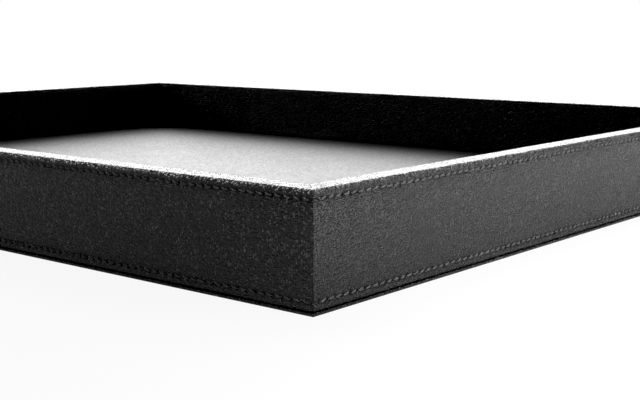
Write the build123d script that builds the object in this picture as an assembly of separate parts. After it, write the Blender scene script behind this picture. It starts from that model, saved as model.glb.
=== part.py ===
"""Folding dice tray: a padded rolling floor with four hinged, leather-wrapped walls.

Each wall stands on the rim of the base skin and swings outward about the bottom
edge of its outer face, so the tray lies flat.  Magnets in the mitred wall ends
hold the corners shut.  Millimetres, +Z up.  The origin is the centre of the
underside, +X runs along the long side.
"""

import math
import os

from build123d import *

# ---- driving dimensions ---------------------------------------------------
LENGTH = 338.0          # outside, along X
WIDTH = 263.0           # outside, along Y
HEIGHT = 28.0           # table to rim
WALL_T = 6.2            # finished wall thickness

SKIN_T = 0.7            # leather sheet under the whole tray
FLAP_T = 0.4            # turned-up margin of the skin, glued under each wall
FLAP_GAP = 0.05         # air between the flap and the skin while the wall stands
COVER_T = 0.8           # leather around each wall core
LINING_T = 0.6          # leather on each wall's inner face

BOARD_T = 2.0           # stiffener of the floor
PAD_T = 0.6             # felt that quietens the dice
FLOOR_LINING_T = 0.5    # leather over pad and board
FLOOR_CLEARANCE = 0.5   # floor platform to the walls

CORNER_GAP = 0.3        # between the two mitred ends at each corner
RIM_RADIUS = 0.6        # rolled top edges of a wall
FOOT_RADIUS = 0.35      # rolled bottom outer edge of a wall
SKIN_RADIUS = 0.2       # rolled top edge of the skin

STITCH_W = 0.5          # thread channel width
STITCH_D = 0.3          # thread channel depth
STITCH_TOP_DROP = 2.2   # rim down to the upper thread row
STITCH_FOOT_RISE = 1.95 # wall's bottom edge up to the lower thread row
STITCH_END = 1.0        # row stops this far from the corner edge

MAGNET_H = 14.0         # upright bar magnet in each end of a wall
MAGNET_W = 4.0
MAGNET_T = 1.5
MAGNET_Z = 14.5         # height of the magnet's centre
MAGNET_CLEARANCE = 0.05
MAGNET_INSET = 3.4      # outer face to magnet centre, measured on the core's end

# ---- derived heights ------------------------------------------------------
FLAP_Z = SKIN_T + FLAP_GAP
WALL_Z = FLAP_Z + FLAP_T
FLOOR_Z = SKIN_T + BOARD_T + PAD_T + FLOOR_LINING_T
HINGE_Z = (SKIN_T + WALL_Z) / 2
END_SETBACK = CORNER_GAP / 2

# name, outside length, turn about Z, centre of the wall's outer face
WALLS = (
    ("front", LENGTH, 0, (0, -WIDTH / 2)),
    ("right", WIDTH, 90, (LENGTH / 2, 0)),
    ("back", LENGTH, 180, (0, WIDTH / 2)),
    ("left", WIDTH, -90, (-LENGTH / 2, 0)),
)


def mitred_prism(length, depth_0, depth_1, z_0, z_1, setback):
    """Bar with 45 degree ends.  X runs along it, Y is depth from the outer face.

    Both ends stand back from the corner's mitre plane by setback.
    """
    def half(depth):
        return length / 2 - depth - setback * math.sqrt(2)

    outline = Polyline(
        (-half(depth_0), depth_0),
        (half(depth_0), depth_0),
        (half(depth_1), depth_1),
        (-half(depth_1), depth_1),
        close=True,
    )
    return extrude(Pos(0, 0, z_0) * make_face(outline), z_1 - z_0)


def long_edges(solid, depth, height):
    """The edges that run along X at this depth and height."""
    return [
        edge
        for edge in solid.edges().filter_by(Axis.X)
        if abs(edge.center().Y - depth) < 0.01 and abs(edge.center().Z - height) < 0.01
    ]


def thread_row(length, height):
    """Strip of thread let into the outer face at this height."""
    strip = Box(length - 2 * STITCH_END, STITCH_D, STITCH_W)
    return Pos(0, STITCH_D / 2, height) * strip


def end_face(length, side):
    """Place of a magnet's mouth on the core's mitred end: X up, Z out of the end."""
    setback = END_SETBACK + COVER_T
    reach = length / 2 - MAGNET_INSET - setback * math.sqrt(2)
    mouth = Plane(
        origin=(side * reach, MAGNET_INSET, MAGNET_Z),
        x_dir=(0, 0, 1),
        z_dir=(side, 1, 0),
    )
    return Location(mouth)


def make_wall(length):
    """Solids of one wall by name, standing along X with its outer face at Y = 0.

    Left and right are as seen from outside the tray.
    """
    z_low, z_high = WALL_Z + COVER_T, HEIGHT - COVER_T
    inner_setback = END_SETBACK + COVER_T
    rows = {
        "top_stitching": thread_row(length, HEIGHT - STITCH_TOP_DROP),
        "bottom_stitching": thread_row(length, WALL_Z + STITCH_FOOT_RISE),
    }

    cover = mitred_prism(length, 0, WALL_T, WALL_Z, HEIGHT, END_SETBACK)
    rim_edges = long_edges(cover, 0, HEIGHT) + long_edges(cover, WALL_T, HEIGHT)
    cover = fillet(rim_edges, RIM_RADIUS)
    cover = fillet(long_edges(cover, 0, WALL_Z), FOOT_RADIUS)
    cover -= mitred_prism(length, COVER_T, WALL_T, z_low, z_high, inner_setback)
    for row in rows.values():
        cover -= row

    core_depth = WALL_T - LINING_T
    core = mitred_prism(length, COVER_T, core_depth, z_low, z_high, inner_setback)
    lining = mitred_prism(length, core_depth, WALL_T, z_low, z_high, inner_setback)

    slack = 2 * MAGNET_CLEARANCE
    pocket = Box(MAGNET_H + slack, MAGNET_W + slack, 2 * MAGNET_T + slack)
    magnet = Pos(0, 0, -MAGNET_T / 2) * Box(MAGNET_H, MAGNET_W, MAGNET_T)
    magnets = {}
    for name, side in (("left_magnet", -1), ("right_magnet", 1)):
        place = end_face(length, side)
        core -= place * pocket
        magnets[name] = place * magnet

    flap = mitred_prism(
        length, COVER_T, WALL_T - COVER_T, FLAP_Z, WALL_Z, inner_setback
    )
    return {
        "cover": cover,
        "core": core,
        "lining": lining,
        "hinge_flap": flap,
        **magnets,
        **rows,
    }


def platform(inset, z_0, z_1):
    """Slab of the floor, this far inside the walls' inner faces."""
    margin = 2 * (WALL_T + inset)
    slab = Box(LENGTH - margin, WIDTH - margin, z_1 - z_0)
    return Pos(0, 0, (z_0 + z_1) / 2) * slab


def make_base():
    """Solids of the floor by name."""
    skin = Pos(0, 0, SKIN_T / 2) * Box(LENGTH, WIDTH, SKIN_T)
    skin = fillet(skin.faces().sort_by(Axis.Z)[-1].edges(), SKIN_RADIUS)

    under_lining = FLOOR_CLEARANCE + FLOOR_LINING_T
    board_top = SKIN_T + BOARD_T
    pad_top = board_top + PAD_T
    floor_lining = platform(FLOOR_CLEARANCE, SKIN_T, FLOOR_Z)
    floor_lining -= platform(under_lining, SKIN_T, pad_top)
    return {
        "base_skin": skin,
        "base_board": platform(under_lining, SKIN_T, board_top),
        "floor_pad": platform(under_lining, board_top, pad_top),
        "floor_lining": floor_lining,
    }


def make_tray():
    """Every solid of the tray by node name, in place."""
    nodes = make_base()
    for name, length, turn, (x, y) in WALLS:
        place = Pos(x, y, 0) * Rot(0, 0, turn)
        for piece, solid in make_wall(length).items():
            nodes[f"{name}_{piece}"] = place * solid
    return nodes


os.makedirs("parts", exist_ok=True)
for node, solid in make_tray().items():
    export_step(solid, f"parts/{node}.step")
print(f"floor at z = {FLOOR_Z:.2f}, hinge axes at z = {HINGE_Z:.3f}")
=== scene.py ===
"""Looks of the folding dice tray: black pebble-grained leather, stitched along both edges of each wall.

Metres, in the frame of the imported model.  Each wall is built once in its own
coordinates (run along the wall, depth inward from its outer face, height) and
then put on its side of the tray.
"""

import math

import bpy
import numpy as np
from mathutils import Matrix, Vector


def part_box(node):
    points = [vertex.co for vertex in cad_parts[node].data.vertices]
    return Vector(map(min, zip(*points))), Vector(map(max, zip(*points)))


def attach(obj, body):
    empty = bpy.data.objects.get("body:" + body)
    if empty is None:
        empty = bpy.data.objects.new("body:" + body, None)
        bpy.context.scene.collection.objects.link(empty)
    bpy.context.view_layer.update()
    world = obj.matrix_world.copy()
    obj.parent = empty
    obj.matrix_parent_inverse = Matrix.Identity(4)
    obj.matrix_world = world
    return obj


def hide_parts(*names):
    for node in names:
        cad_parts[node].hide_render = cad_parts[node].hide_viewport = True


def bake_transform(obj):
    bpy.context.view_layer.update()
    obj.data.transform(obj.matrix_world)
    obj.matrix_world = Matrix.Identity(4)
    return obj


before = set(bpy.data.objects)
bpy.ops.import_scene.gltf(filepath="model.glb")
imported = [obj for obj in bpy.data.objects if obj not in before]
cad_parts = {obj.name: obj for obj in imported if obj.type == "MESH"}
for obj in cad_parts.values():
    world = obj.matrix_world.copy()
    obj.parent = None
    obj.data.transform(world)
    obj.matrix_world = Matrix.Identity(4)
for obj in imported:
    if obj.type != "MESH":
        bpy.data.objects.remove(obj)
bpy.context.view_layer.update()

MM = 0.001
WALL_NAMES = ("front", "right", "back", "left")
SEED = 7

# ---- sizes read from the frame --------------------------------------------
skin_low, skin_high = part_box("base_skin")
cover_low, cover_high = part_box("front_cover")
floor_low, floor_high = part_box("floor_lining")
top_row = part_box("front_top_stitching")
bottom_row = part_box("front_bottom_stitching")

LENGTH = skin_high.x - skin_low.x
WIDTH = skin_high.y - skin_low.y
HEIGHT = cover_high.z
WALL_Z = cover_low.z
WALL_T = cover_high.y - cover_low.y
SKIN_T = skin_high.z
TOP_ROW_Z = (top_row[0].z + top_row[1].z) / 2
BOTTOM_ROW_Z = (bottom_row[0].z + bottom_row[1].z) / 2

# ---- sizes of the leather, its seams and the thread -------------------------
RIM_R = 0.50 * MM          # rolled edges of the rim, the inner one a little sharper
FOOT_R = 0.25 * MM         # rolled edge between the outer face and the foot
RIM_LEAN = 0.34 * MM       # how far the bead under the rim leans back
FOOT_LEAN = 0.08 * MM      # the same for the bead above the foot
BEAD_REACH = 1.5 * MM      # height over which a bead leans
BEAD_LEVEL = 0.3 * MM      # below the rim by this much, its bead leans all the way
LONG_END_R = 0.42 * MM     # rolled edges of the long walls' mitred ends
SHORT_END_R = 0.20 * MM    # and of the short walls', which butt up sharper
END_SETBACK = 0.02 * MM    # how far a mitred end's leather stays off the corner's plane
PULL_IN = 0.36 * MM        # how far a seam draws the leather in
SEAM_SPREAD = 0.55 * MM    # half width of the drawn-in channel
PANEL_DEPTH = 0.10 * MM    # flat middle of the outer face, behind the beads
RELIEF_REACH = 1.6 * MM    # depth over which the outer face's relief fades out
LINING_DROP = 0.85 * MM    # rim down to the top of the inner lining
LINING_RISE = 0.85 * MM    # wall's foot up to the bottom of the inner lining
LINING_T = 0.6 * MM
LINING_EDGE_R = 0.28 * MM  # rolled edges of the inner lining
LINING_DISH = 0.03 * MM    # how much its hidden side is hollowed
LINING_RIPPLE = 0.05 * MM  # how much that side ripples
LINING_CLEAR = 0.03 * MM   # gap above it in its recess
LINING_LIFT = 0.02 * MM    # gap to the recess's floor, before hollow and ripple
LINING_END = 0.25 * MM     # gap at each of its ends
RECESS_LIP = 0.05 * MM     # how far the inner face leans back where the recess begins
RECESS_RISE = 0.8 * MM     # wall's foot up to the recess
RECESS_SLOPE = 0.1 * MM    # height over which the recess's edges slope in
HEEL_R = 0.35 * MM         # rounded edge between the inner face and the foot
SEAM_BAND = 0.8 * MM       # half height of the finely divided strip round a stitch row
SEAM_STEP = 0.2 * MM       # its divisions
SAG = 0.10 * MM            # how far the rim dips between its high places
SAG_REACH = 1.2 * MM       # height over which the dip fades out below the rim
SLACK = 0.05 * MM          # gentle swell of the outer face's middle
WANDER = 0.03 * MM         # how far a stitch row strays from its line
FIT_ALLOWANCE = 2 * MM     # taken off a wall's length before whole stitches are fitted to it
SKIN_EDGE_R = 0.12 * MM    # rolled edge of the base skin
PAD_EDGE_R = 0.8 * MM      # rolled edge of the floor pad
PAD_CROWN = 0.12 * MM      # how much higher the floor pad is in its middle
PAD_RIPPLE = 0.06 * MM     # how much it ripples
CROWN_REACH = 12 * MM      # distance from a slab's edge over which crown and ripple set in
PITCH = 2.70 * MM          # one stitch
STITCH_SHARE = 0.70        # of the pitch that the thread covers
STITCH_TILT = 0.28 * MM    # rise of a stitch over half its length
STITCH_DIP = 0.42 * MM     # how deep its ends go
STITCH_END = 0.5 * MM      # no stitch comes nearer to a wall's end than this
THREAD_R = 0.22 * MM
THREAD_PROUD = 0.10 * MM   # thread's middle in front of the channel's floor
HOLE_R = 0.35 * MM
HOLE_DEPTH = 0.34 * MM
STEPS_PER_PITCH = 8
HINGE_INNER = 1.9 * MM     # depth at which the hinge's two leaves end
HINGE_BEND = 1.3 * MM      # depth at which they start to bend
HINGE_FOLD = 0.8 * MM      # depth of the middle of the fold
HINGE_SKIN = 0.12 * MM     # thickness of the folded leather
HINGE_CLEAR = 0.02 * MM    # gap to the base skin and to the wall's foot
HINGE_END = 0.6 * MM       # gap at each end of a hinge
HINGE_STEP = 3 * MM        # its divisions along the wall
GRAIN_STRETCH = (0.78, 0.78, 1.0)  # pebbles are a little longer along the table than up the walls


def side_frame(name):
    """(wall's outside length, matrix from wall coordinates to the tray's frame)."""
    length = LENGTH if name in ("front", "back") else WIDTH
    across = WIDTH if name in ("front", "back") else LENGTH
    turn = {"front": 0, "right": 90, "back": 180, "left": -90}[name]
    place = Matrix.Rotation(math.radians(turn), 4, "Z")
    return length, place @ Matrix.Translation((0, -across / 2, 0))


def new_object(name, vertices, faces, matrix=None):
    """Smooth-shaded mesh object; matrix takes wall coordinates to the tray's frame."""
    mesh = bpy.data.meshes.new(name)
    mesh.from_pydata([tuple(v) for v in vertices], [], faces)
    if matrix is not None:
        mesh.transform(matrix)
    mesh.validate()
    mesh.polygons.foreach_set("use_smooth", [True] * len(mesh.polygons))
    mesh.update()
    made = bpy.data.objects.new(name, mesh)
    bpy.context.scene.collection.objects.link(made)
    return made


def smooth_noise(x, seed, wavelengths):
    """Sum of sines with fixed random phases: gentle unevenness along a length."""
    rng = np.random.default_rng(seed)
    total = np.zeros_like(x)
    for wavelength in wavelengths:
        phase, weight = rng.uniform(0, 2 * math.pi), rng.uniform(0.6, 1.0)
        total += weight * np.sin(2 * math.pi * x / wavelength + phase)
    return total / len(wavelengths)


def arc(centre, radius, start, end, count):
    """Points of an arc in the (depth, height) plane, angles in degrees."""
    angles = np.radians(np.linspace(start, end, count))
    return [(centre[0] + radius * math.cos(a), centre[1] + radius * math.sin(a)) for a in angles]


def cover_profile():
    """Closed outline of a wall's cover, (depth, height), from its foot up the outer face and back."""
    band = np.arange(-4, 5) * SEAM_STEP
    low_bead = np.linspace(WALL_Z + FOOT_R, BOTTOM_ROW_Z - SEAM_BAND, 5)[1:-1]
    low_seam = band + BOTTOM_ROW_Z
    high_seam = band + TOP_ROW_Z
    middle = np.linspace(low_seam[-1], high_seam[0], 12)[1:-1]
    high_bead = np.linspace(TOP_ROW_Z + SEAM_BAND, HEIGHT - RIM_R, 6)[1:-1]
    outline = arc((FOOT_R, WALL_Z + FOOT_R), FOOT_R, 270, 180, 7)
    outline += [(0.0, z) for z in (*low_bead, *low_seam, *middle, *high_seam, *high_bead)]
    outline += arc((RIM_R, HEIGHT - RIM_R), RIM_R, 180, 90, 9)
    outline += [(WALL_T * share, HEIGHT) for share in (0.38, 0.5, 0.62)]
    inner_r = RIM_R * 0.8
    outline += arc((WALL_T - inner_r, HEIGHT - inner_r), inner_r, 90, 0, 7)
    # the lining's recess, with a small lip above and below it
    recess, lip = WALL_T - LINING_T, WALL_T - RECESS_LIP
    top, foot = HEIGHT - LINING_DROP, WALL_Z + RECESS_RISE
    outline += [(lip, top), (recess, top - RECESS_SLOPE)]
    outline += [(recess, HEIGHT / 2), (recess, foot + RECESS_SLOPE), (lip, foot)]
    outline += arc((WALL_T - HEEL_R, WALL_Z + HEEL_R), HEEL_R, 0, -90, 4)
    outline += [(WALL_T * share, WALL_Z) for share in (0.6, 0.35)]
    return np.array(outline)


def outward_normals(profile):
    """Unit normals of a closed outline, pointing out of it."""
    ahead = np.roll(profile, -1, axis=0) - np.roll(profile, 1, axis=0)
    normal = np.stack([-ahead[:, 1], ahead[:, 0]], axis=1)
    return normal / np.linalg.norm(normal, axis=1, keepdims=True)


def run_positions(length):
    """Evenly spaced places along the wall, from -1 to 1, and how many whole stitches fit on it."""
    stitches = round((length - FIT_ALLOWANCE) / PITCH)
    return np.linspace(-1, 1, stitches * STEPS_PER_PITCH + 1), stitches


def seam_relief(run, height, pitch, seed):
    """Depth by which seams, holes and slack shape the outer face at each (run, height)."""
    depth = np.zeros_like(run)
    for row_z in (BOTTOM_ROW_Z, TOP_ROW_Z):
        wander = smooth_noise(run, seed + 3, (0.093, 0.041)) * WANDER
        off = (height - row_z - wander) / SEAM_SPREAD
        to_hole = np.abs((run / pitch + 0.5) % 1.0 - 0.5) * pitch
        draw = 0.72 + 0.28 * np.cos(2 * math.pi * run / pitch)
        depth += PULL_IN * draw * np.exp(-off * off)
        reach = (to_hole**2 + (height - row_z) ** 2) / HOLE_R**2
        depth += HOLE_DEPTH * np.exp(-reach)
    above = np.clip((height - HEIGHT + BEAD_REACH + BEAD_LEVEL) / BEAD_REACH, 0, 1)
    below = np.clip((WALL_Z + BEAD_REACH - height) / BEAD_REACH, 0, 1)
    depth += RIM_LEAN * above**2 + FOOT_LEAN * below**2
    between = (height > BOTTOM_ROW_Z) & (height < TOP_ROW_Z)
    share = np.clip((height - BOTTOM_ROW_Z) / (TOP_ROW_Z - BOTTOM_ROW_Z), 0, 1)
    settle = np.clip(np.minimum(share, 1 - share) * 9, 0, 1)
    slack = smooth_noise(run, seed, (0.117, 0.071, 0.029))
    slack = slack * smooth_noise(height, seed + 1, (0.031, 0.017))
    depth += np.where(between, settle * (PANEL_DEPTH + SLACK * slack), 0)
    return depth


def cover_mesh(length, seed):
    """Vertices and faces of one wall's cover: the outline carried along the wall, with mitred ends."""
    profile = cover_profile()
    normals = outward_normals(profile)
    places, stitches = run_positions(length)
    pitch = (length - FIT_ALLOWANCE) / stitches
    end_r = LONG_END_R if length == LENGTH else SHORT_END_R
    rings = []

    def half(depth):
        """Middle of the wall to its mitred end, at a depth."""
        return length / 2 - depth - END_SETBACK * math.sqrt(2)

    def ring(place, inset, setback):
        """The outline at a place, drawn in by inset and kept back from the ends by setback."""
        outline = profile - normals * inset
        depth, height = outline[:, 0], outline[:, 1]
        run = place * (half(depth) - setback)
        outer = np.clip(1 - depth / RELIEF_REACH, 0, 1)
        relief = seam_relief(run, height, pitch, seed) * outer
        on_rim = np.clip((height - HEIGHT + SAG_REACH) / SAG_REACH, 0, 1)
        sag = (0.5 + 0.5 * smooth_noise(run, seed + 9, (0.21, 0.083, 0.036))) * SAG
        return np.stack([run, depth + relief, height - sag * on_rim], axis=1)

    turns = np.radians((0, 22.5, 45, 67.5))
    steps = [(end_r * (1 - math.sin(a)), end_r * (1 - math.cos(a))) for a in turns]
    for inset, setback in steps:
        rings.append(ring(-1.0, inset, setback))
    for place in places[1:-1]:
        rings.append(ring(place, 0.0, end_r))
    for inset, setback in reversed(steps):
        rings.append(ring(1.0, inset, setback))

    around = len(profile)
    vertices = np.concatenate(rings)
    faces = []
    for i in range(len(rings) - 1):
        for j in range(around):
            k = (j + 1) % around
            faces.append((i * around + j, i * around + k, (i + 1) * around + k, (i + 1) * around + j))
    last = (len(rings) - 1) * around
    faces.append(tuple(reversed(range(around))))
    faces.append(tuple(last + j for j in range(around)))
    return vertices, faces, pitch, stitches


def tube(points, radii, sides):
    """Vertices and faces of a closed round tube through points, with a radius at each."""
    vertices, faces = [], []
    points = np.array(points)
    ahead = np.gradient(points, axis=0)
    for point, direction, radius in zip(points, ahead, radii):
        direction = direction / np.linalg.norm(direction)
        side = np.cross(direction, (0, 1, 0))
        side /= np.linalg.norm(side)
        up = np.cross(side, direction)
        for s in range(sides):
            a = 2 * math.pi * s / sides
            vertices.append(point + radius * (math.cos(a) * side + math.sin(a) * up))
    for i in range(len(points) - 1):
        for s in range(sides):
            t = (s + 1) % sides
            faces.append((i * sides + s, i * sides + t, (i + 1) * sides + t, (i + 1) * sides + s))
    faces.append(tuple(reversed(range(sides))))
    last = (len(points) - 1) * sides
    faces.append(tuple(last + s for s in range(sides)))
    return vertices, faces


def stitch_row(length, pitch, stitches, row_z, slant, seed):
    """One thread row: separate stitches that rise (slant 1) or fall (-1) along the wall, ends in holes."""
    rng = np.random.default_rng(seed)
    vertices, faces = [], []
    edge = length / 2 - STITCH_END
    for index in range(-(stitches // 2) - 1, stitches // 2 + 2):
        middle = (index + 0.5) * pitch
        reach = pitch * STITCH_SHARE / 2
        if abs(middle) + reach > edge:
            continue
        tilt = slant * STITCH_TILT * rng.uniform(0.7, 1.3)
        lift = rng.uniform(-0.03, 0.03) * MM
        shift = rng.uniform(-0.04, 0.04) * MM
        points, radii = [], []
        for u in np.linspace(-1, 1, 9):
            bow = (1 - u * u) ** 0.6 if abs(u) < 1 else 0.0
            depth = PULL_IN * 0.55 + STITCH_DIP * (1 - bow) - THREAD_PROUD - lift
            points.append((middle + u * reach, depth, row_z + shift + u * tilt))
            radii.append(THREAD_R * (0.72 + 0.28 * bow))
        made, sides = tube(points, radii, 8)
        start = len(vertices)
        vertices += made
        faces += [tuple(start + v for v in face) for face in sides]
    return vertices, faces


def rounded_slab(low, high, radius, crown, cells, seed, wave):
    """Closed slab with rolled edges: two grids that share their border.

    crown is how much higher the top is in its middle, and wave how much it ripples.
    """
    size_x, size_y = high[0] - low[0], high[1] - low[1]
    nx, ny = cells
    turns = np.radians(np.linspace(0, 90, 6))
    lead = [radius * (1 - math.sin(t)) for t in turns[::-1]]

    def axis(size, count):
        """Grid lines along one side, closer together over the rolled edges."""
        inner = np.linspace(radius, size - radius, count)
        return np.concatenate([lead[:-1], inner, size - np.array(lead[:-1])[::-1]])

    xs, ys = axis(size_x, nx), axis(size_y, ny)
    vertices = []
    index = {}
    for side in (1, -1):
        for i, x in enumerate(xs):
            for j, y in enumerate(ys):
                on_border = i in (0, len(xs) - 1) or j in (0, len(ys) - 1)
                if side < 0 and on_border:
                    index[side, i, j] = index[1, i, j]
                    continue
                edge = min(x, size_x - x, y, size_y - y)
                roll = radius - math.sqrt(max(radius**2 - max(radius - edge, 0) ** 2, 0))
                half_t = (high[2] - low[2]) / 2
                reach = min(edge / CROWN_REACH, 1)
                swell = crown * math.sin(reach * math.pi / 2)
                ripple = wave * reach * float(
                    smooth_noise(np.array([x + 0.31 * y]), seed, (0.13, 0.061))[0]
                    * smooth_noise(np.array([y - 0.23 * x]), seed + 1, (0.11, 0.047))[0]
                )
                z = side * (half_t - min(roll, half_t))
                if side > 0:
                    z += swell + ripple - crown
                index[side, i, j] = len(vertices)
                vertices.append((low[0] + x, low[1] + y, (low[2] + high[2]) / 2 + z))
    faces = []
    for side in (1, -1):
        for i in range(len(xs) - 1):
            for j in range(len(ys) - 1):
                corners = ((i, j), (i + 1, j), (i + 1, j + 1), (i, j + 1))
                quad = [index[side, a, b] for a, b in corners]
                faces.append(tuple(quad if side > 0 else reversed(quad)))
    return vertices, faces


# ---- materials ------------------------------------------------------------
class Graph:
    """Short way to lay out a material's nodes."""

    def __init__(self, name):
        self.material = bpy.data.materials.new(name)
        self.material.use_nodes = True
        self.nodes = self.material.node_tree.nodes
        self.links = self.material.node_tree.links
        self.shader = self.nodes["Principled BSDF"]

    def node(self, kind, inputs=None, **settings):
        made = self.nodes.new(kind)
        for key, value in settings.items():
            setattr(made, key, value)
        for key, value in (inputs or {}).items():
            if isinstance(value, bpy.types.NodeSocket):
                self.links.new(value, made.inputs[key])
            else:
                made.inputs[key].default_value = value
        return made

    def math(self, operation, first, second=0.0):
        made = self.node("ShaderNodeMath", {0: first, 1: second}, operation=operation)
        return made.outputs[0]

    def vector(self, operation, first, second):
        key = "Scale" if operation == "SCALE" else 1
        inputs = {0: first, key: second}
        return self.node("ShaderNodeVectorMath", inputs, operation=operation).outputs[0]

    def ramp(self, value, low, high, to_low=0.0, to_high=1.0, smooth=True):
        kind = "SMOOTHSTEP" if smooth else "LINEAR"
        inputs = {"Value": value, "From Min": low, "From Max": high, "To Min": to_low, "To Max": to_high}
        return self.node("ShaderNodeMapRange", inputs, interpolation_type=kind).outputs[0]

    def noise(self, vector, scale, detail=2.0, roughness=0.5):
        inputs = {"Vector": vector, "Scale": scale, "Detail": detail, "Roughness": roughness}
        return self.node("ShaderNodeTexNoise", inputs).outputs["Fac"]

    def mix(self, factor, first, second):
        made = self.node("ShaderNodeMix", data_type="RGBA")
        for key, value in ((0, factor), (6, first), (7, second)):
            if isinstance(value, bpy.types.NodeSocket):
                self.links.new(value, made.inputs[key])
            else:
                made.inputs[key].default_value = value
        return made.outputs[2]


def grey(level):
    return (level, level, level, 1.0)


def leather(name, pebble, relief, tone, gloss, wear):
    """Black pebble-grained leather.

    pebble is the grain's size in metres, relief its height, tone the grey of
    the pebbles' tops, gloss their roughness, and wear how much the roughness
    drifts over a few centimetres.
    """
    g = Graph(name)
    place = g.node("ShaderNodeTexCoord").outputs["Object"]
    warp = g.node("ShaderNodeTexNoise", {"Vector": place, "Scale": 0.35 / pebble, "Detail": 2.0})
    centred = g.vector("SUBTRACT", warp.outputs["Color"], (0.5, 0.5, 0.5))
    bent = g.vector("ADD", place, g.vector("SCALE", centred, 0.45 * pebble))
    bent = g.vector("MULTIPLY", bent, GRAIN_STRETCH)

    # large domes with small ones on them; each large one has its own height, tone and gloss
    cell = g.node("ShaderNodeTexVoronoi", {"Vector": bent, "Scale": 1 / pebble}, feature="F1")
    dome = g.ramp(g.math("POWER", cell.outputs["Distance"], 1.6), 0.0, 0.55, 1.0, 0.0, smooth=False)
    small = g.node("ShaderNodeTexVoronoi", {"Vector": bent, "Scale": 1.9 / pebble}, feature="F1")
    small_dome = g.ramp(small.outputs["Distance"], 0.05, 0.7, 1.0, 0.0, smooth=False)
    luck = g.node("ShaderNodeSeparateColor", {"Color": cell.outputs["Color"]}).outputs[0]
    swell = g.noise(place, 0.45 / pebble, 2.0)
    height = g.math("ADD", g.math("MULTIPLY", dome, 0.80), g.math("MULTIPLY", small_dome, 0.20))
    height = g.math("ADD", height, g.math("MULTIPLY", swell, 0.10))
    height = g.math("MULTIPLY", height, g.ramp(luck, 0.0, 1.0, 0.7, 1.15))
    bump = g.node("ShaderNodeBump", {"Height": height, "Strength": 1.0, "Distance": relief})
    g.links.new(bump.outputs[0], g.shader.inputs["Normal"])

    drift = g.noise(place, 45.0, 4.0, 0.6)
    rubbed = g.ramp(drift, 0.35, 0.7)
    valley = g.math("SUBTRACT", 1.0, dome)
    pebbled = g.mix(g.ramp(luck, 0.25, 1.0), grey(tone * 0.10), grey(tone * 2.6))
    base = g.mix(g.math("MULTIPLY", rubbed, 0.15), pebbled, grey(tone))
    # painted shade: the grain's valleys are darkened towards a tenth of the tone, as shade falling in them
    shade = g.mix(g.ramp(valley, 0.06, 0.52), base, grey(tone * 0.10))
    g.links.new(shade, g.shader.inputs["Base Color"])
    worn = g.ramp(drift, 0.3, 0.75, gloss + wear, gloss - wear)
    rough = g.math("ADD", worn, g.math("MULTIPLY", valley, 0.12))
    rough = g.math("ADD", rough, g.ramp(luck, 0.0, 1.0, 0.07, -0.05))
    g.links.new(rough, g.shader.inputs["Roughness"])
    return g.material


def thread_material():
    """Black waxed thread with a twisted ply."""
    g = Graph("waxed_thread")
    place = g.node("ShaderNodeTexCoord").outputs["Object"]
    twist = {"Vector": place, "Scale": 900.0, "Distortion": 1.5}
    ply = g.node("ShaderNodeTexWave", twist, bands_direction="DIAGONAL")
    fuzz = g.noise(place, 9000.0, 3.0)
    height = g.math("ADD", ply.outputs["Fac"], g.math("MULTIPLY", fuzz, 0.3))
    bump = g.node("ShaderNodeBump", {"Height": height, "Strength": 1.0, "Distance": 0.04 * MM})
    g.links.new(bump.outputs[0], g.shader.inputs["Normal"])
    colour = g.mix(ply.outputs["Fac"], grey(0.05), grey(0.19))
    g.links.new(colour, g.shader.inputs["Base Color"])
    rough = g.ramp(fuzz, 0.3, 0.7, 0.28, 0.42)
    g.links.new(rough, g.shader.inputs["Roughness"])
    return g.material


def plain_detail(name, dark, light, scale, rough, relief, metallic=0.0):
    """Simple grained material for the hidden board, felt and magnets."""
    g = Graph(name)
    place = g.node("ShaderNodeTexCoord").outputs["Object"]
    speck = g.noise(place, scale, 5.0, 0.65)
    g.links.new(g.mix(g.ramp(speck, 0.3, 0.7), dark, light), g.shader.inputs["Base Color"])
    bump = g.node("ShaderNodeBump", {"Height": speck, "Strength": 1.0, "Distance": relief})
    g.links.new(bump.outputs[0], g.shader.inputs["Normal"])
    g.links.new(g.ramp(speck, 0.3, 0.7, rough - 0.06, rough + 0.06), g.shader.inputs["Roughness"])
    g.shader.inputs["Metallic"].default_value = metallic
    return g.material


# painted light: the wall leather is the same black leather as the lining and floor, given a tone several
# times lighter (0.095 against 0.014 and 0.011) so that the covers' outer faces come out lit; the darker
# lining is its shaded copy
WALL_LEATHER = leather("wall_leather", 0.56 * MM, 0.34 * MM, 0.095, 0.17, 0.03)
LINING_LEATHER = leather("lining_leather", 0.60 * MM, 0.21 * MM, 0.014, 0.28, 0.02)
FLOOR_LEATHER = leather("floor_leather", 0.60 * MM, 0.045 * MM, 0.011, 0.45, 0.012)
THREAD = thread_material()
BOARD = plain_detail("fibreboard", (0.30, 0.21, 0.13, 1), (0.46, 0.35, 0.23, 1), 900.0, 0.8, 0.05 * MM)
FELT = plain_detail("felt", grey(0.03), grey(0.08), 2500.0, 0.9, 0.1 * MM)
NICKEL = plain_detail("nickel", grey(0.5), grey(0.68), 1500.0, 0.3, 0.005 * MM, metallic=1.0)


def dress(piece, material):
    """One material on the piece."""
    piece.data.materials.clear()
    piece.data.materials.append(material)


# ---- the pieces -----------------------------------------------------------
def make_cover(name, length, matrix, seed):
    """Leather wrapped round a wall. Returns the pitch and number of its stitches."""
    vertices, faces, pitch, stitches = cover_mesh(length, seed)
    cover = new_object(f"{name}_leather_cover", vertices, faces, matrix)
    dress(cover, WALL_LEATHER)
    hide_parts(f"{name}_cover")
    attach(cover, f"{name}_wall")
    return pitch, stitches


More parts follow.
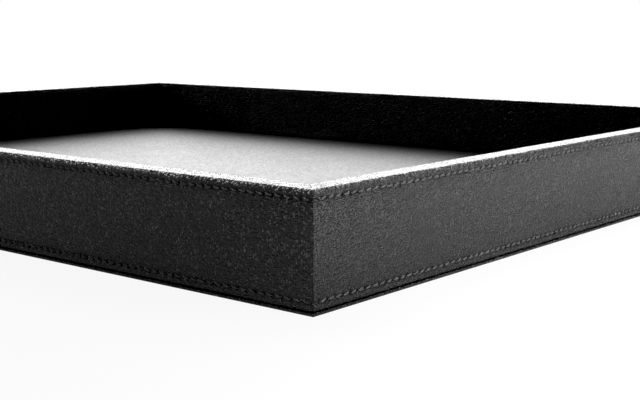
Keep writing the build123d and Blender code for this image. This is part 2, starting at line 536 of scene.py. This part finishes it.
def make_lining(name, length, matrix, seed):
    """Leather panel in the recess of the inner face, with rolled edges and mitred ends."""
    low_z, high_z = WALL_Z + LINING_RISE, HEIGHT - LINING_DROP - LINING_CLEAR
    half = length / 2 - WALL_T - END_SETBACK * math.sqrt(2) - LINING_END
    low = (-half, -high_z, -WALL_T)
    high = (half, -low_z, -(WALL_T - LINING_T) - LINING_LIFT)
    cells = (int(2 * half / (4 * MM)), 10)
    vertices, faces = rounded_slab(low, high, LINING_EDGE_R, -LINING_DISH, cells, seed, LINING_RIPPLE)
    # the slab was made lying down, and is stood up with its underside towards the tray's middle
    turned = [(x, -z, -y) for x, y, z in vertices]
    lining = new_object(f"{name}_leather_lining", turned, [tuple(reversed(f)) for f in faces], matrix)
    dress(lining, LINING_LEATHER)
    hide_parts(f"{name}_lining")
    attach(lining, f"{name}_wall")


def make_stitching(name, length, matrix, pitch, stitches, seed):
    """Both thread rows of a wall. They fall along the long walls and rise along the short ones."""
    slant = -1 if length == LENGTH else 1
    for row, row_z in (("top", TOP_ROW_Z), ("bottom", BOTTOM_ROW_Z)):
        vertices, faces = stitch_row(length, pitch, stitches, row_z, slant, seed + len(row))
        thread = new_object(f"{name}_{row}_stitches", vertices, faces, matrix)
        dress(thread, THREAD)
        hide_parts(f"{name}_{row}_stitching")
        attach(thread, f"{name}_wall")


def make_hinge(name, length, matrix):
    """Leather fold between the base skin's top and the wall's foot, along the hinge line."""
    low, high = SKIN_T + HINGE_CLEAR, WALL_Z - HINGE_CLEAR
    middle, reach = (low + high) / 2, (high - low) / 2
    fold = [(HINGE_INNER, low), (HINGE_BEND, low)]
    fold += arc((HINGE_FOLD, middle), reach, 270, 90, 9)
    fold += [(HINGE_BEND, high), (HINGE_INNER, high)]
    outline = np.array(fold)
    places = np.linspace(-1, 1, int(length / HINGE_STEP))
    rings = []
    for place in places:
        run = place * (length / 2 - outline[:, 0] - HINGE_END)
        rings.append(np.stack([run, outline[:, 0], outline[:, 1]], axis=1))
    count = len(outline)
    faces = []
    for i in range(len(rings) - 1):
        for j in range(count - 1):
            faces.append((i * count + j, i * count + j + 1, (i + 1) * count + j + 1, (i + 1) * count + j))
    hinge = new_object(f"{name}_living_hinge", np.concatenate(rings), faces, matrix)
    thick = hinge.modifiers.new("thickness", "SOLIDIFY")
    thick.thickness = HINGE_SKIN
    thick.offset = 1.0
    bpy.context.view_layer.update()
    depsgraph = bpy.context.evaluated_depsgraph_get()
    solid = bpy.data.meshes.new_from_object(hinge.evaluated_get(depsgraph))
    hinge.modifiers.clear()
    hinge.data = solid
    dress(hinge, WALL_LEATHER)
    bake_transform(hinge)


def make_walls():
    for order, name in enumerate(WALL_NAMES):
        length, matrix = side_frame(name)
        seed = SEED + 20 * order
        pitch, stitches = make_cover(name, length, matrix, seed)
        make_lining(name, length, matrix, seed + 5)
        make_stitching(name, length, matrix, pitch, stitches, seed + 7)
        make_hinge(name, length, matrix)


def make_base():
    """Base skin under everything, and the floor's leather pad, with its crown, inside the walls."""
    vertices, faces = rounded_slab(skin_low, skin_high, SKIN_EDGE_R, 0.0, (60, 48), SEED + 100, wave=0.0)
    skin = new_object("base_leather_skin", vertices, faces)
    dress(skin, WALL_LEATHER)
    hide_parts("base_skin")
    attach(skin, "base")

    cells, seed = (110, 86), SEED + 101
    vertices, faces = rounded_slab(floor_low, floor_high, PAD_EDGE_R, PAD_CROWN, cells, seed, PAD_RIPPLE)
    lining = new_object("floor_leather_pad", vertices, faces)
    dress(lining, FLOOR_LEATHER)
    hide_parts("floor_lining")
    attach(lining, "base")


def dress_cad_nodes():
    """Finishes of the CAD pieces that stay: boards, felt, hinge flaps and magnets."""
    finishes = {"core": BOARD, "board": BOARD, "pad": FELT, "magnet": NICKEL, "flap": WALL_LEATHER}
    for name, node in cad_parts.items():
        for ending, material in finishes.items():
            if name.endswith(ending):
                node.data.materials.clear()
                node.data.materials.append(material)


make_walls()
make_base()
dress_cad_nodes()


# ---- stage, light and camera ----------------------------------------------
VIEW_YAW = math.radians(39.97)         # from the right wall's direction towards the front wall's
VIEW_PITCH = math.radians(9.05)
VIEW_ROLL = math.radians(-0.16)
NEAR_CORNER = Vector((LENGTH / 2, -WIDTH / 2, 0))
CAMERA_OFFSET = (5.57, -6.56, 2.29)    # from the near corner, in wall heights
LENS = 64.46                           # millimetres

BACK_ELEVATION = 34
BACK_DISTANCE = 2.0
BACK_SIZE = (3.6, 1.9)
BACK_RADIANCE = 7.1                    # watts per square metre and steradian, as below
TABLE_PLACE = (0.46, 0.05, 0.6)        # above the table, to the right of the tray
TABLE_SIZE = (0.4, 0.4)
TABLE_RADIANCE = 21.0
TABLE_SPREAD = math.radians(30)        # narrow, so that it doesn't reach the inner left wall
ROOM_LIGHT = 0.04
PAPER_TONE = 0.32
PAPER_GLOW = 0.18
PAPER_WHITE = 0.9                      # share of plain white in what the camera sees of the paper
STAGE_RADIUS = 1.9
BLACK_LEVEL = 0.003


def make_camera():
    data = bpy.data.cameras.new("camera")
    data.sensor_width = 36.0
    data.lens = LENS
    camera = bpy.data.objects.new("camera", data)
    camera.location = NEAR_CORNER + Vector([HEIGHT * steps for steps in CAMERA_OFFSET])
    ahead = Vector((
        -math.sin(VIEW_YAW) * math.cos(VIEW_PITCH),
        math.cos(VIEW_YAW) * math.cos(VIEW_PITCH),
        -math.sin(VIEW_PITCH),
    ))
    level = ahead.to_track_quat("-Z", "Y").to_matrix().to_4x4()
    roll = Matrix.Rotation(VIEW_ROLL, 4, "Z")
    camera.matrix_world = Matrix.Translation(camera.location) @ level @ roll
    data.clip_start, data.clip_end = 0.01, 50
    bpy.context.scene.collection.objects.link(camera)
    bpy.context.scene.camera = camera


def softbox(name, azimuth, elevation, distance, size, power):
    """Area light that looks at the tray. Azimuth 0 is over +Y and 90 over +X, in degrees."""
    data = bpy.data.lights.new(name, "AREA")
    data.shape = "RECTANGLE"
    data.size, data.size_y = size
    data.energy = power
    light = bpy.data.objects.new(name, data)
    a, e = math.radians(azimuth), math.radians(elevation)
    toward = Vector((math.sin(a) * math.cos(e), math.cos(a) * math.cos(e), math.sin(e)))
    light.location = toward * distance
    light.rotation_mode = "QUATERNION"
    light.rotation_quaternion = toward.to_track_quat("Z", "Y")
    light.visible_camera = False
    bpy.context.scene.collection.objects.link(light)
    return light


def radiance_power(radiance, size):
    """Watts that give a white area light of this size this radiance."""
    return radiance * size[0] * size[1] * math.pi


def white_to_camera(nodes, links, lit, share, output):
    """Mixes plain white into what the camera sees of the stage, so the backdrop stays pale."""
    white = nodes.new("ShaderNodeEmission")
    path = nodes.new("ShaderNodeLightPath")
    weight = nodes.new("ShaderNodeMath")
    weight.operation = "MULTIPLY"
    weight.inputs[1].default_value = share
    links.new(path.outputs["Is Camera Ray"], weight.inputs[0])
    mix = nodes.new("ShaderNodeMixShader")
    links.new(weight.outputs[0], mix.inputs[0])
    links.new(lit, mix.inputs[1])
    links.new(white.outputs[0], mix.inputs[2])
    links.new(mix.outputs[0], output)


def make_world():
    """White behind everything; a dim grey room for reflections."""
    world = bpy.data.worlds.new("studio")
    world.use_nodes = True
    nodes, links = world.node_tree.nodes, world.node_tree.links
    room = nodes["Background"]
    room.inputs["Color"].default_value = grey(1.0)
    room.inputs["Strength"].default_value = ROOM_LIGHT
    surface = nodes["World Output"].inputs["Surface"]
    white_to_camera(nodes, links, room.outputs[0], 1.0, surface)
    bpy.context.scene.world = world


def make_stage():
    """Round sheet of pale paper under the tray."""
    bpy.ops.mesh.primitive_circle_add(vertices=96, radius=STAGE_RADIUS, fill_type="NGON")
    floor = bpy.context.object
    floor.name = "studio_floor"
    g = Graph("studio_paper")
    g.shader.inputs["Base Color"].default_value = grey(PAPER_TONE)
    g.shader.inputs["Roughness"].default_value = 0.9
    g.shader.inputs["Emission Color"].default_value = grey(1.0)
    g.shader.inputs["Emission Strength"].default_value = PAPER_GLOW
    surface = g.nodes["Material Output"].inputs["Surface"]
    white_to_camera(g.nodes, g.links, g.shader.outputs[0], PAPER_WHITE, surface)
    floor.data.materials.append(g.material)


def make_lights():
    """A large softbox behind the tray, and a small one that lights the table to the right of it."""
    back_azimuth = -math.degrees(VIEW_YAW) - 6
    back_power = radiance_power(BACK_RADIANCE, BACK_SIZE)
    softbox("back_softbox", back_azimuth, BACK_ELEVATION, BACK_DISTANCE, BACK_SIZE, back_power)
    table_power = radiance_power(TABLE_RADIANCE, TABLE_SIZE)
    table_light = softbox("table_softbox", 0, 90, 1.0, TABLE_SIZE, table_power)
    table_light.location = TABLE_PLACE
    table_light.data.spread = TABLE_SPREAD


def set_view():
    """Plain display transform, with the blacks deepened a little."""
    settings = bpy.context.scene.view_settings
    settings.view_transform = "Standard"
    settings.use_curve_mapping = True
    settings.curve_mapping.black_level = (BLACK_LEVEL, BLACK_LEVEL, BLACK_LEVEL)
    settings.curve_mapping.update()


make_lights()
set_view()
make_world()
make_stage()
make_camera()
